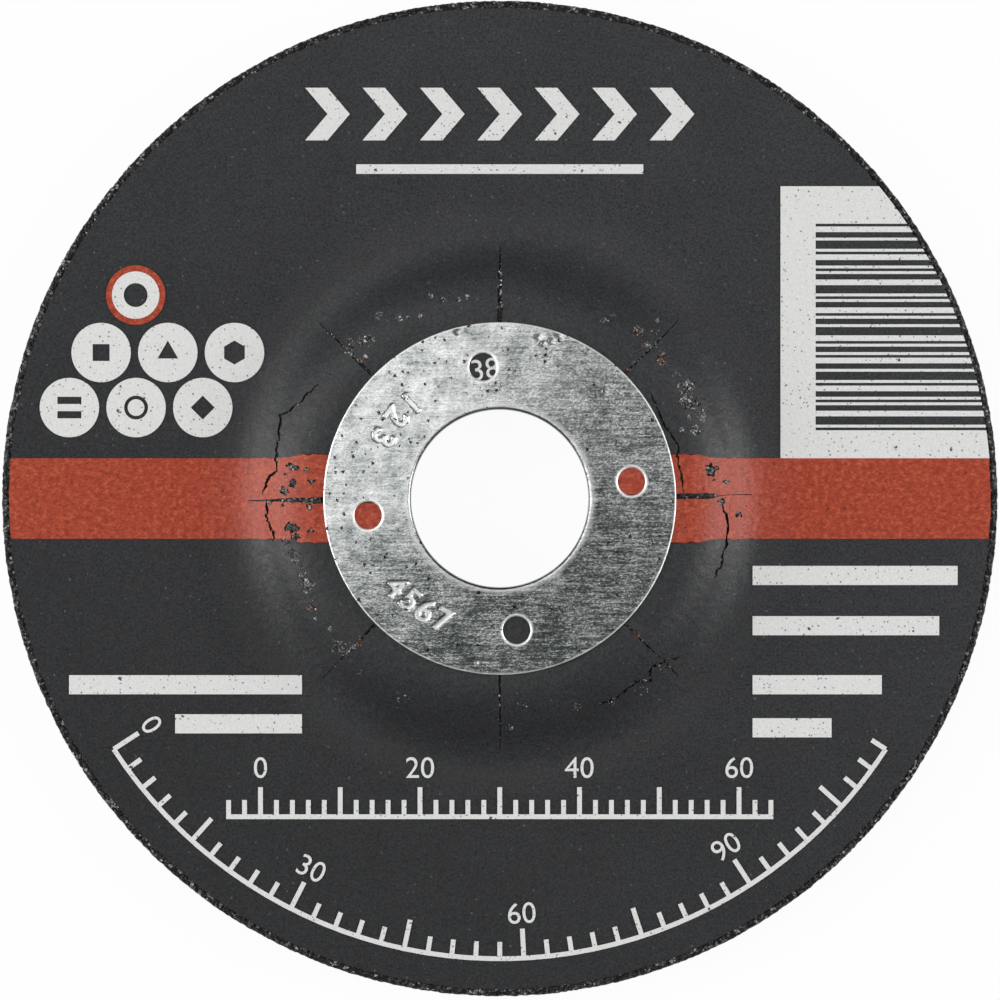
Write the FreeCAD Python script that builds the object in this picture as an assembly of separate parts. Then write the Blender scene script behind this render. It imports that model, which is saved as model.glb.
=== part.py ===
import FreeCAD, Part
import math
import os

# Depressed-centre grinding disc, lying on its working face with the label side up.
# The frame is the disc's own: Z is the spin axis, and Z = 0 is the plane of the working face.
# All sizes are in millimetres and all angles in degrees.

# Abrasive body
outside_diameter = 125.0
thickness = 6.0
hub_rise = 4.6
shoulder_width = 11.3
recess_inset = 0.7
recess_slope_width = 9.5
edge_round = 0.6

# Hub ring
bore_diameter = 22.23
ring_diameter = 44.0
ring_sheet = 0.4
ring_bend_radius = 1.2
ring_seat_margin = 1.2
collar_setback = 0.5
collar_clearance = 0.05
anchor_hole_diameter = 3.4
anchor_hole_count = 4
anchor_hole_angle = 7.3
anchor_hole_round = 0.25
ring_rim_round = 0.15

# Label and its ink
label_thickness = 0.2
label_margin = 0.9
ink_thickness = 0.1
slit_count = 8
slit_mouth = 0.7
slit_reach = 8.5

# Red band across the middle, and the pale striped field over it at the rim
band_width = 10.1
field_width = 26.4
field_height = 34.1
stripe_margin = 4.4
stripe_foot = 3.5
stripe_module = 0.35
stripe_widths = (1, 3, 2, 1, 2)
stripe_gaps = (1, 2, 1)
stripe_count = 24

# Round marks on the left
mark_radius = 3.73
mark_pitch = 8.36
mark_rim_gap = 7.64
mark_band_gap = 6.35
row_count = 2
marks_per_row = 3
row_shift = 3.98
row_rise = 6.9
target_shift = 4.33
target_rise = 7.2
red_ring_width = 0.75
figure_size = 3.0
figure_bar = 0.9

# Chevrons at the top, and the rule under them
chevron_count = 7
chevron_pitch = 7.2
chevron_width = 5.6
chevron_height = 6.6
chevron_arm = 2.8
chevron_rim_gap = 13.4
rule_length = 36.0
rule_width = 1.2
rule_gap = 3.0

# Bars beside the hub, each with its length and its distance under the band
bar_height = 2.4
right_bar_hub_gap = 9.7
right_bars = ((25.7, 4.6), (23.4, 10.9), (16.2, 18.3), (9.9, 23.7))
left_bar_hub_gap = 2.8
left_bars = ((29.2, 18.3), (15.9, 23.2))

# Straight scale and arc scale at the bottom
scale_end_gap = 27.6
scale_rim_gap = 22.0
scale_step = 2.0
scale_long_every = 5
arc_scale_rim_gap = 3.6
arc_scale_span = 114.0
arc_scale_step = 3.0
arc_scale_long_every = 5
tick_width = 0.6
long_tick = 3.4
short_tick = 1.8

# Places that follow from the sizes above
outer_radius = outside_diameter / 2
bore_radius = bore_diameter / 2
ring_radius = ring_diameter / 2
hub_flat_radius = ring_radius + ring_seat_margin
shoulder_radius = hub_flat_radius + shoulder_width
recess_floor_radius = hub_flat_radius - recess_inset
recess_mouth_radius = recess_floor_radius + recess_slope_width
hub_top = thickness + hub_rise
label_outer_radius = outer_radius - label_margin
collar_outer_radius = bore_radius + ring_sheet
bend_inner_radius = ring_bend_radius - ring_sheet
label_hole_radius = bore_radius + ring_bend_radius
ring_seat = hub_top + label_thickness + ink_thickness
ring_top = ring_seat + ring_sheet
bend_centre_height = ring_top - ring_bend_radius
anchor_circle_radius = (bore_radius + ring_radius) / 2
slit_tip_radius = hub_flat_radius + slit_reach
half_band = band_width / 2
field_left = label_outer_radius - field_width
first_mark = (mark_rim_gap - label_outer_radius, half_band + mark_band_gap)
target = (first_mark[0] + row_shift + target_shift, first_mark[1] + row_rise + target_rise)
tall = 2 * ring_top


def at(radius, height):
    return FreeCAD.Vector(radius, 0, height)


def line(start, end):
    return Part.makeLine(start, end)


def arc(centre, radius, first, last):
    # An arc in the section plane, with angles from +X towards +Z.
    def point(angle):
        turn = math.radians(angle)
        return centre + at(radius * math.cos(turn), radius * math.sin(turn))

    return Part.Arc(point(first), point((first + last) / 2), point(last)).toShape()


def turned(edges):
    # The closed section turned once round the spin axis.
    section = Part.Face(Part.Wire(Part.__sortEdges__(edges)))
    return section.revolve(FreeCAD.Vector(0, 0, 0), FreeCAD.Vector(0, 0, 1), 360)


def step_curve(inner, outer, high, low, lift):
    # Two tangent arcs that fall from high at radius inner to low at radius outer, moved out by lift.
    width = outer - inner
    slope = 2 * math.degrees(math.atan((high - low) / width))
    radius = width / 2 / math.sin(math.radians(slope))
    crown = arc(at(inner, high - radius), radius + lift, 90, 90 - slope)
    foot = arc(at(outer, low + radius), radius - lift, 270 - slope, 270)
    return [crown, foot]


def back_curve(lift):
    # The shoulder on the label side, at a distance lift over the abrasive.
    return step_curve(hub_flat_radius, shoulder_radius, hub_top, thickness, lift)


def skin(low_lift, high_lift):
    # A sheet that follows the label side of the body, from the ring's bend to near the rim.
    edges = back_curve(low_lift) + back_curve(high_lift)
    for lift in (low_lift, high_lift):
        edges.append(line(at(label_hole_radius, hub_top + lift), at(hub_flat_radius, hub_top + lift)))
        edges.append(line(at(shoulder_radius, thickness + lift), at(label_outer_radius, thickness + lift)))
    for radius, height in ((label_hole_radius, hub_top), (label_outer_radius, thickness)):
        edges.append(line(at(radius, height + low_lift), at(radius, height + high_lift)))
    return turned(edges)


def box(x_low, x_high, y_low, y_high):
    corner = FreeCAD.Vector(x_low, y_low, 0)
    return Part.makeBox(x_high - x_low, y_high - y_low, tall, corner)


def column(x, y, radius):
    return Part.makeCylinder(radius, tall, FreeCAD.Vector(x, y, 0))


def prism(points):
    # An upright block with the given corners, in plan.
    corners = [FreeCAD.Vector(x, y, 0) for x, y in points]
    face = Part.Face(Part.makePolygon(corners + corners[:1]))
    return face.extrude(FreeCAD.Vector(0, 0, tall))


def slits():
    # Star cuts that let the flat label follow the shoulder. Each narrows to a point on the slope.
    half = slit_mouth / 2
    inside = label_hole_radius / 2
    outline = [(inside, half), (inside, -half), (hub_flat_radius, -half)]
    outline += [(slit_tip_radius, 0), (hub_flat_radius, half)]
    cuts = []
    for number in range(slit_count):
        cut = prism(outline)
        cut.rotate(FreeCAD.Vector(0, 0, 0), FreeCAD.Vector(0, 0, 1), number * 360 / slit_count)
        cuts.append(cut)
    return cuts


def abrasive_body():
    bore = collar_outer_radius + collar_clearance
    mouth_height = hub_top - bend_inner_radius + label_thickness + ink_thickness
    mouth_radius = bore + hub_top - mouth_height
    top_corner = arc(at(outer_radius - edge_round, thickness - edge_round), edge_round, 90, 0)
    low_corner = arc(at(outer_radius - edge_round, edge_round), edge_round, 0, -90)
    edges = back_curve(0) + [top_corner, low_corner]
    edges += step_curve(recess_floor_radius, recess_mouth_radius, hub_rise, 0, 0)
    edges.append(line(at(shoulder_radius, thickness), at(outer_radius - edge_round, thickness)))
    edges.append(line(at(outer_radius, thickness - edge_round), at(outer_radius, edge_round)))
    edges.append(line(at(outer_radius - edge_round, 0), at(recess_mouth_radius, 0)))
    edges.append(line(at(recess_floor_radius, hub_rise), at(bore, hub_rise)))
    edges.append(line(at(bore, hub_rise), at(bore, mouth_height)))
    edges.append(line(at(bore, mouth_height), at(mouth_radius, hub_top)))
    edges.append(line(at(mouth_radius, hub_top), at(hub_flat_radius, hub_top)))
    return turned(edges)


def paper_label():
    return skin(0, label_thickness).cut(slits())


def stripes():
    # Dark stripes of a plain repeating rhythm, left open in the pale field.
    strips = []
    low = half_band + stripe_foot
    for number in range(stripe_count):
        high = low + stripe_module * stripe_widths[number % len(stripe_widths)]
        strips.append(box(field_left + stripe_margin, outer_radius, low, high))
        low = high + stripe_module * stripe_gaps[number % len(stripe_gaps)]
    return strips


def striped_field():
    # The field keeps to the flat of the label, so it ends at the shoulder as it does at the rim.
    field = box(field_left, outer_radius, half_band, half_band + field_height)
    return field.cut(stripes() + [column(0, 0, shoulder_radius)])


def mark_places():
    # The lower row of round marks first, then the upper row.
    places = []
    for row in range(row_count):
        for number in range(marks_per_row):
            x = first_mark[0] + row * row_shift + number * mark_pitch
            places.append((x, first_mark[1] + row * row_rise))
    return places


def polygon(x, y, corners, turn):
    reach = figure_size / 2
    points = []
    for number in range(corners):
        angle = math.radians(turn + number * 360 / corners)
        points.append((x + reach * math.cos(angle), y + reach * math.sin(angle)))
    return prism(points)


def two_bars(x, y):
    half = figure_size / 2
    bars = []
    for middle in (y - figure_bar, y + figure_bar):
        bars.append(box(x - half, x + half, middle - figure_bar / 2, middle + figure_bar / 2))
    return bars


def open_ring(x, y):
    return [column(x, y, figure_size / 2).cut(column(x, y, figure_size / 2 - figure_bar / 2))]


def figures():
    # One plain figure for each round mark.
    places = mark_places()
    shapes = two_bars(*places[0]) + open_ring(*places[1])
    for place, corners, turn in zip(places[2:], (4, 4, 3, 6), (0, 45, 90, 90)):
        shapes.append(polygon(*place, corners, turn))
    return shapes


def round_marks():
    discs = [column(x, y, mark_radius).cut(figures()) for x, y in mark_places()]
    middle = column(*target, mark_radius - red_ring_width)
    return discs + [middle.cut(column(*target, figure_size / 2))]


def chevrons():
    shapes = []
    low = label_outer_radius - chevron_rim_gap - chevron_height / 2
    notch = chevron_width - chevron_arm
    outline = [(0, 0), (chevron_arm, 0), (chevron_width, chevron_height / 2)]
    outline += [(chevron_arm, chevron_height), (0, chevron_height), (notch, chevron_height / 2)]
    for number in range(chevron_count):
        left = (number - (chevron_count - 1) / 2) * chevron_pitch - chevron_width / 2
        shapes.append(prism([(left + x, low + y) for x, y in outline]))
    shapes.append(box(-rule_length / 2, rule_length / 2, low - rule_gap - rule_width, low - rule_gap))
    return shapes


def bar(x_low, length, drop):
    middle = -half_band - drop
    return box(x_low, x_low + length, middle - bar_height / 2, middle + bar_height / 2)


def side_bars():
    right = ring_radius + right_bar_hub_gap
    left = -ring_radius - left_bar_hub_gap
    shapes = [bar(right, length, drop) for length, drop in right_bars]
    return shapes + [bar(left - length, length, drop) for length, drop in left_bars]


def tick_length(number, long_every):
    return long_tick if number % long_every == 0 else short_tick


def straight_scale():
    # Ticks that stand on a line, counted from the middle.
    foot = scale_rim_gap - label_outer_radius
    reach = label_outer_radius - scale_end_gap
    ticks_each_side = int(reach / scale_step)
    shapes = [box(-reach, reach, foot - tick_width, foot)]
    for number in range(-ticks_each_side, ticks_each_side + 1):
        x = number * scale_step
        top = foot + tick_length(number, scale_long_every)
        shapes.append(box(x - tick_width / 2, x + tick_width / 2, foot - tick_width, top))
    return shapes[0].fuse(shapes[1:]).removeSplitter()


def arc_scale():
    # Ticks that stand inwards on an arc near the label's edge, spread about the lowest point.
    radius = label_outer_radius - arc_scale_rim_gap
    start = -90 - arc_scale_span / 2
    rim = column(0, 0, radius).cut(column(0, 0, radius - tick_width))
    corners = [(0, 0)]
    for part in range(5):
        angle = math.radians(start + part * arc_scale_span / 4)
        corners.append((outside_diameter * math.cos(angle), outside_diameter * math.sin(angle)))
    shapes = [rim.common(prism(corners))]
    for number in range(round(arc_scale_span / arc_scale_step) + 1):
        length = tick_length(number, arc_scale_long_every)
        tick = box(radius - tick_width - length, radius - tick_width / 2, -tick_width / 2, tick_width / 2)
        tick.rotate(FreeCAD.Vector(0, 0, 0), FreeCAD.Vector(0, 0, 1), start + number * arc_scale_step)
        shapes.append(tick)
    return shapes[0].fuse(shapes[1:])


def pale_print(ink):
    shapes = [striped_field(), straight_scale(), arc_scale()]
    shapes += round_marks() + chevrons() + side_bars()
    return Part.makeCompound([solid for shape in shapes for solid in ink.common(shape).Solids])


def red_print(ink):
    band = box(-outer_radius, outer_radius, -half_band, half_band)
    ring = column(*target, mark_radius).cut(column(*target, mark_radius - red_ring_width))
    return Part.makeCompound(ink.common([band, ring]).Solids)


def hub_ring():
    # A flange on the label, bent down into a collar that lines the bore.
    bend = at(bore_radius + ring_bend_radius, bend_centre_height)
    foot = hub_rise + collar_setback
    edges = [arc(bend, ring_bend_radius, 180, 90), arc(bend, bend_inner_radius, 180, 90)]
    edges.append(line(at(bore_radius, bend_centre_height), at(bore_radius, foot)))
    edges.append(line(at(bore_radius, foot), at(collar_outer_radius, foot)))
    edges.append(line(at(collar_outer_radius, foot), at(collar_outer_radius, bend_centre_height)))
    edges.append(line(at(bend.x, ring_top), at(ring_radius - ring_rim_round, ring_top)))
    edges.append(arc(at(ring_radius - ring_rim_round, ring_top - ring_rim_round), ring_rim_round, 90, 0))
    edges.append(line(at(ring_radius, ring_top - ring_rim_round), at(ring_radius, ring_seat)))
    edges.append(line(at(ring_radius, ring_seat), at(bend.x, ring_seat)))
    ring = turned(edges)
    for number in range(anchor_hole_count):
        angle = math.radians(anchor_hole_angle + number * 360 / anchor_hole_count)
        x = anchor_circle_radius * math.cos(angle)
        y = anchor_circle_radius * math.sin(angle)
        ring = ring.cut(column(x, y, anchor_hole_diameter / 2))
    return ring.makeFillet(anchor_hole_round, hole_mouths(ring))


def hole_mouths(ring):
    # The upper edges of the anchor holes, which the punch rounded.
    mouths = []
    for edge in ring.Edges:
        if not isinstance(edge.Curve, Part.Circle):
            continue
        on_top = abs(edge.BoundBox.ZMin - ring_top) < 1e-6
        if on_top and abs(edge.Curve.Radius - anchor_hole_diameter / 2) < 1e-6:
            mouths.append(edge)
    return mouths


def main():
    ink = skin(label_thickness, label_thickness + ink_thickness).cut(slits())
    pieces = {
        "abrasive_body": abrasive_body(),
        "paper_label": paper_label(),
        "red_print": red_print(ink),
        "pale_print": pale_print(ink),
        "hub_ring": hub_ring(),
    }
    os.makedirs("parts", exist_ok=True)
    for name, shape in pieces.items():
        shape.exportStep(f"parts/{name}.step")
        print(name, len(shape.Solids), "solids,", round(shape.Volume, 1), "mm3")


main()
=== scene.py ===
import bpy
import math
import random
from mathutils import Matrix, Vector, noise


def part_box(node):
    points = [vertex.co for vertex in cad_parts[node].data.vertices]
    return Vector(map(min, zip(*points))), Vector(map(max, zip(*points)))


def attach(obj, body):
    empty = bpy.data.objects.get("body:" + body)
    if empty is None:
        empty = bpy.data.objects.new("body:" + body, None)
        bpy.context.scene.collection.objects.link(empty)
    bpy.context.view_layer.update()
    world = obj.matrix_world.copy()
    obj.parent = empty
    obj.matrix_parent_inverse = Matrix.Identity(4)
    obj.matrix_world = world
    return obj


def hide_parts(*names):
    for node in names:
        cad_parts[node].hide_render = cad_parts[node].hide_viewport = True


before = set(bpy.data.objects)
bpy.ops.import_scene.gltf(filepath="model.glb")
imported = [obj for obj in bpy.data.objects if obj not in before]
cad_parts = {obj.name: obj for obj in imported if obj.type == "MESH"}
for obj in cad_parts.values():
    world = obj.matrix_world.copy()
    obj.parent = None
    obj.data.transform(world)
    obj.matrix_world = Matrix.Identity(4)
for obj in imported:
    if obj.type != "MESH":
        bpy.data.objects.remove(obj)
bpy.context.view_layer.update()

mm = 0.001
up = Vector((0, 0, 1))

# Sizes that the frame gives
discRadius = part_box("abrasive_body")[1].x
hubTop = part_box("abrasive_body")[1].z
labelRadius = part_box("paper_label")[1].x
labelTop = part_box("paper_label")[1].z
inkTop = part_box("red_print")[1].z
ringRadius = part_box("hub_ring")[1].x
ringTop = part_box("hub_ring")[1].z
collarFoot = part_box("hub_ring")[0].z
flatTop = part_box("paper_label")[0].z              # the abrasive under the flat of the label
labelSheet = labelTop - hubTop
inkSheet = inkTop - labelTop

# The turned form, shared by the body, the label and the ink
form = {
    "hubFlatRadius": 23.2 * mm,
    "shoulderRadius": 34.5 * mm,
    "labelHole": 12.315 * mm,
    "recessTop": 4.6 * mm,
    "recessFloorRadius": 22.5 * mm,
    "recessMouthRadius": 32.0 * mm,
    "boreWall": 11.565 * mm,
    "mouthDrop": 0.5 * mm,
    "edgeRound": 0.6 * mm,
    "halfBand": 5.05 * mm,
}

# Places read off the photograph, in its pixels
photo = {"centre": (499.75, 498.48), "pixelsPerMm": 7.9755}
capShare = 0.69                                   # how high a figure is in a font of size 1


def fromPhoto(x, y):
    scale = photo["pixelsPerMm"] / mm
    return Vector(((x - photo["centre"][0]) / scale, (photo["centre"][1] - y) / scale, 0))


def letGo():
    if bpy.context.object and bpy.context.object.mode != "OBJECT":
        bpy.ops.object.mode_set(mode="OBJECT")
    bpy.ops.object.select_all(action="DESELECT")


def hold(obj):
    letGo()
    obj.select_set(True)
    bpy.context.view_layer.objects.active = obj


def settle(obj):
    # the place goes into the mesh, so the object ends at the origin, unturned and unscaled
    hold(obj)
    bpy.ops.object.transform_apply(location=True, rotation=True, scale=True)
    return obj


def applyAll(obj):
    hold(obj)
    for modifier in list(obj.modifiers):
        bpy.ops.object.modifier_apply(modifier=modifier.name)


def smooth(obj, degrees=35):
    hold(obj)
    bpy.ops.object.shade_smooth_by_angle(angle=math.radians(degrees))


def pick(obj, wanted):
    # selects the faces whose centre and normal pass the test, then opens edit mode on them
    hold(obj)
    bpy.ops.object.mode_set(mode="EDIT")
    bpy.ops.mesh.select_mode(type="FACE")
    bpy.ops.mesh.select_all(action="DESELECT")
    bpy.ops.object.mode_set(mode="OBJECT")
    for face in obj.data.polygons:
        face.select = wanted(face.center, face.normal)
    bpy.ops.object.mode_set(mode="EDIT")


def group(obj, name, weight):
    # a vertex group whose weight comes from each vertex's place
    made = obj.vertex_groups.new(name=name)
    for vert in obj.data.vertices:
        made.add([vert.index], max(0.0, min(1.0, weight(vert.co))), "REPLACE")
    return made


def flatRadius(co):
    return math.hypot(co.x, co.y)


def finishPiece(obj, slot, material, *replaced):
    obj.data.materials.clear()
    obj.data.materials.append(material)
    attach(obj, "root")
    if replaced:
        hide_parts(*replaced)


# Section outlines, as (radius, height) pairs
def arcOf(centre, radius, first, last, steps):
    points = []
    for step in range(steps + 1):
        turn = math.radians(first + (last - first) * step / steps)
        points.append((centre[0] + radius * math.cos(turn), centre[1] + radius * math.sin(turn)))
    return points


def straight(start, end, cell):
    steps = max(1, round(math.dist(start, end) / cell))
    return [(start[0] + (end[0] - start[0]) * k / steps, start[1] + (end[1] - start[1]) * k / steps)
            for k in range(steps + 1)]


def doubleCurve(inner, outer, high, low, lift, steps):
    # two tangent arcs from high at the inner radius to low at the outer one, moved out by lift
    slope = 2 * math.degrees(math.atan((high - low) / (outer - inner)))
    radius = (outer - inner) / 2 / math.sin(math.radians(slope))
    crown = arcOf((inner, high - radius), radius + lift, 90, 90 - slope, steps)
    foot = arcOf((outer, low + radius), radius - lift, 270 - slope, 270, steps)
    return crown + foot[1:]


def shoulder(lift, steps):
    return doubleCurve(form["hubFlatRadius"], form["shoulderRadius"], hubTop, flatTop, lift, steps)


def topOf(r):
    # the height of the abrasive under the label at a radius
    inner, outer = form["hubFlatRadius"], form["shoulderRadius"]
    if r <= inner:
        return hubTop
    if r >= outer:
        return flatTop
    slope = 2 * math.atan((hubTop - flatTop) / (outer - inner))
    bend = (outer - inner) / 2 / math.sin(slope)
    if r < (inner + outer) / 2:
        return hubTop - bend + math.sqrt(bend ** 2 - (r - inner) ** 2)
    return flatTop + bend - math.sqrt(bend ** 2 - (outer - r) ** 2)


def turnOutline(name, outline, steps):
    # the section is drawn point by point and spun once round the axis
    letGo()
    bpy.ops.mesh.primitive_plane_add(size=mm)
    obj = bpy.context.object
    obj.name = name
    bpy.ops.object.mode_set(mode="EDIT")
    bpy.ops.mesh.select_mode(type="VERT")
    bpy.ops.mesh.select_all(action="SELECT")
    bpy.ops.mesh.merge(type="CENTER")
    points = [Vector((r, 0, z)) for r, z in outline]
    points.append(points[0])
    bpy.ops.transform.translate(value=points[0])
    for here, there in zip(points, points[1:]):
        bpy.ops.mesh.extrude_vertices_move(TRANSFORM_OT_translate={"value": there - here})
    bpy.ops.mesh.select_all(action="SELECT")
    bpy.ops.mesh.remove_doubles(threshold=0.002 * mm)
    bpy.ops.mesh.spin(steps=steps, angle=2 * math.pi, center=(0, 0, 0), axis=(0, 0, 1))
    bpy.ops.mesh.select_all(action="SELECT")
    bpy.ops.mesh.remove_doubles(threshold=0.002 * mm)
    bpy.ops.mesh.delete_loose()
    bpy.ops.mesh.select_all(action="SELECT")
    bpy.ops.mesh.normals_make_consistent(inside=False)
    bpy.ops.object.mode_set(mode="OBJECT")
    return settle(obj)


def combine(obj, tool, operation):
    # adds the tool's solid to the object's, or takes it away
    cut = obj.modifiers.new("solid", "BOOLEAN")
    cut.object = tool
    cut.operation = operation
    cut.solver = "MANIFOLD"
    applyAll(obj)


# Shader nodes
class Shade:
    def __init__(self, name):
        self.material = bpy.data.materials.new(name)
        self.material.use_nodes = True
        self.tree = self.material.node_tree
        self.shader = self.tree.nodes["Principled BSDF"]
        self.coords = self.add("TexCoord").outputs["Object"]

    def add(self, kind, **values):
        node = self.tree.nodes.new("ShaderNode" + kind)
        for key, value in values.items():
            setattr(node, key, value)
        return node

    def feed(self, socket, value):
        if isinstance(value, bpy.types.NodeSocket):
            self.tree.links.new(value, socket)
        else:
            socket.default_value = value

    def turned(self, angle=0.0, stretch=(1, 1, 1)):
        node = self.add("Mapping")
        self.feed(node.inputs["Vector"], self.coords)
        node.inputs["Rotation"].default_value = (0, 0, math.radians(angle))
        node.inputs["Scale"].default_value = stretch
        return node.outputs["Vector"]

    def along(self, angle):
        # the distance from the axis along one direction of the face
        node = self.add("SeparateXYZ")
        self.feed(node.inputs["Vector"], self.turned(-angle))
        return node.outputs["X"]

    def fromAxis(self):
        flat = self.add("VectorMath", operation="MULTIPLY")
        self.feed(flat.inputs[0], self.coords)
        flat.inputs[1].default_value = (1, 1, 0)
        length = self.add("VectorMath", operation="LENGTH")
        self.feed(length.inputs[0], flat.outputs["Vector"])
        return length.outputs["Value"]

    def painted(self, name):
        # a weight that is kept on the mesh itself
        return self.add("Attribute", attribute_name=name).outputs["Fac"]

    def noise(self, size, detail=2.0, rough=0.5, coords=None):
        node = self.add("TexNoise")
        self.feed(node.inputs["Vector"], coords or self.coords)
        node.inputs["Scale"].default_value = 1 / size
        node.inputs["Detail"].default_value = detail
        node.inputs["Roughness"].default_value = rough
        return node.outputs["Fac"]

    def cells(self, size, feature="F1"):
        node = self.add("TexVoronoi", feature=feature)
        self.feed(node.inputs["Vector"], self.coords)
        node.inputs["Scale"].default_value = 1 / size
        return node.outputs

    def channel(self, colour, name="Red"):
        node = self.add("SeparateColor")
        self.feed(node.inputs["Color"], colour)
        return node.outputs[name]

    def sum(self, operation, first, second=0.0):
        node = self.add("Math", operation=operation)
        self.feed(node.inputs[0], first)
        self.feed(node.inputs[1], second)
        return node.outputs["Value"]

    def fit(self, value, low, high, toLow=0.0, toHigh=1.0):
        node = self.add("MapRange")
        self.feed(node.inputs["Value"], value)
        node.inputs["From Min"].default_value = low
        node.inputs["From Max"].default_value = high
        node.inputs["To Min"].default_value = toLow
        node.inputs["To Max"].default_value = toHigh
        return node.outputs["Result"]

    def ramp(self, value, *stops):
        node = self.add("ValToRGB")
        self.feed(node.inputs["Fac"], value)
        marks = node.color_ramp.elements
        while len(marks) < len(stops):
            marks.new(0.5)
        for mark, (place, colour) in zip(marks, stops):
            mark.position = place
            mark.color = (*colour, 1)
        return node.outputs["Color"]

    def mix(self, share, first, second, blend="MIX"):
        node = self.add("Mix", data_type="RGBA", blend_type=blend)
        self.feed(node.inputs["Factor"], share)
        self.feed(node.inputs["A"], first if isinstance(first, bpy.types.NodeSocket) else (*first, 1))
        self.feed(node.inputs["B"], second if isinstance(second, bpy.types.NodeSocket) else (*second, 1))
        return node.outputs["Result"]

    def bump(self, height, depth, under=None):
        node = self.add("Bump")
        self.feed(node.inputs["Height"], height)
        node.inputs["Distance"].default_value = depth
        if under:
            self.feed(node.inputs["Normal"], under)
        return node.outputs["Normal"]

    def paperShine(self, size, onShoulder, onFlat):
        # the print is rubbed smoother where it is stretched over the shoulder than on the flat
        place = self.fit(self.fromAxis(), 33 * mm, 38 * mm, onShoulder, onFlat)
        return self.sum("ADD", place, self.fit(self.noise(size), 0.3, 0.7, -0.07, 0.07))

    def specks(self, size, share, small, large):
        # 1 on a speck and 0 off it: one cell in so many holds a dot, small or large by chance
        out = self.cells(size)
        chance = self.channel(out["Color"])
        reach = self.fit(self.channel(out["Color"], "Green"), 0, 1, small / size, large / size)
        ragged = self.fit(self.noise(large * 0.8, 1.0), 0.3, 0.7, 0.5, 1.5)
        edge = self.sum("LESS_THAN", self.sum("MULTIPLY", out["Distance"], ragged), reach)
        return self.sum("MULTIPLY", edge, self.sum("LESS_THAN", chance, share))


print("materials")


def gritFinish(name, size, shadeGapWidth, tones, shine):
    s = Shade(name)
    grain = s.cells(size)
    tone = s.channel(grain["Color"])
    colour = s.ramp(tone, *tones)
    dust = s.fit(s.noise(0.22 * mm, 3.0, 0.6), 0.35, 0.75, 0.55, 1.5)
    colour = s.mix(1.0, colour, s.ramp(dust, (0.0, (0.45, 0.45, 0.45)), (1.0, (1, 1, 1))), "MULTIPLY")
    # painted shade: near-black in the gaps between the grains
    creviceShade = s.cells(size, "DISTANCE_TO_EDGE")["Distance"]
    colour = s.mix(s.fit(creviceShade, 0.15 * shadeGapWidth, shadeGapWidth, 1.0, 0.0), colour, (0.002, 0.002, 0.002))
    s.feed(s.shader.inputs["Base Color"], colour)
    s.feed(s.shader.inputs["Roughness"], s.fit(s.channel(grain["Color"], "Blue"), 0, 1, *shine))
    s.shader.inputs["Specular IOR Level"].default_value = 0.25
    lumps = s.bump(s.cells(0.4 * mm)["Distance"], 0.12 * mm)
    s.feed(s.shader.inputs["Normal"], s.bump(s.noise(0.15 * mm, 2.0), 0.05 * mm, lumps))
    return s.material


def labelFinish():
    s = Shade("dark_paper")
    fibre = s.fit(s.noise(0.28 * mm, 3.0, 0.7), 0.3, 0.7, 0.32, 1.68)
    cloud = s.fit(s.noise(9 * mm, 2.0), 0.3, 0.7, 0.93, 1.08)
    # painted shade: the paper is darker towards the lower left and paler towards the upper right
    paintedShade = s.fit(s.along(55), -60 * mm, 45 * mm, 0.66, 0.99)
    level = s.sum("MULTIPLY", s.sum("MULTIPLY", fibre, cloud), paintedShade)
    colour = s.ramp(s.sum("MULTIPLY", level, 0.5), (0.0, (0, 0, 0)), (0.5, (0.028, 0.029, 0.031)),
                    (1.0, (0.056, 0.058, 0.062)))
    pale = s.specks(1.0 * mm, 0.5, 0.04 * mm, 0.12 * mm)
    colour = s.mix(s.sum("MULTIPLY", pale, 0.2), colour, (0.34, 0.34, 0.335))
    dark = s.specks(2.1 * mm, 0.3, 0.08 * mm, 0.3 * mm)
    colour = s.mix(s.sum("MULTIPLY", dark, 0.6), colour, (0.012, 0.012, 0.013))
    s.feed(s.shader.inputs["Base Color"], colour)
    s.feed(s.shader.inputs["Roughness"], s.paperShine(0.8 * mm, 0.47, 0.84))
    s.shader.inputs["Specular IOR Level"].default_value = 0.34
    press = s.bump(s.noise(1.1 * mm, 2.0), 0.08 * mm)
    grain = s.bump(s.noise(0.28 * mm, 2.0), 0.025 * mm, press)
    s.feed(s.shader.inputs["Normal"], grain)
    return s.material


def redFinish():
    s = Shade("brick_red_ink")
    creaseReliefAndShade = s.noise(0.27 * mm, 4.0, 0.75, s.turned(-40, (0.62, 1, 1)))
    # painted light and shade of the creases: the crease pattern lightens and darkens the ink as well as
    # bumping it
    fine = s.sum("MULTIPLY", s.sum("SUBTRACT", creaseReliefAndShade, 0.5), 1.1)
    mottle = s.sum("ADD", s.noise(0.7 * mm, 4.0, 0.62), fine)
    colour = s.ramp(mottle, (0.30, (0.225, 0.022, 0.008)), (0.46, (0.325, 0.038, 0.014)),
                    (0.56, (0.365, 0.048, 0.018)), (0.72, (0.46, 0.095, 0.050)))
    rust = s.fit(s.noise(0.45 * mm, 3.0, 0.6), 0.5, 0.7, 0.0, 0.4)
    colour = s.mix(rust, colour, (0.27, 0.062, 0.018))
    dark = s.specks(1.1 * mm, 0.45, 0.05 * mm, 0.16 * mm)
    colour = s.mix(s.sum("MULTIPLY", dark, 0.75), colour, (0.05, 0.012, 0.010))
    s.feed(s.shader.inputs["Base Color"], colour)
    s.feed(s.shader.inputs["Roughness"], s.paperShine(0.7 * mm, 0.45, 0.80))
    s.shader.inputs["Specular IOR Level"].default_value = 0.4
    press = s.bump(s.noise(1.0 * mm, 2.0), 0.10 * mm)
    s.feed(s.shader.inputs["Normal"], s.bump(creaseReliefAndShade, 0.06 * mm, press))
    return s.material


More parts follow.
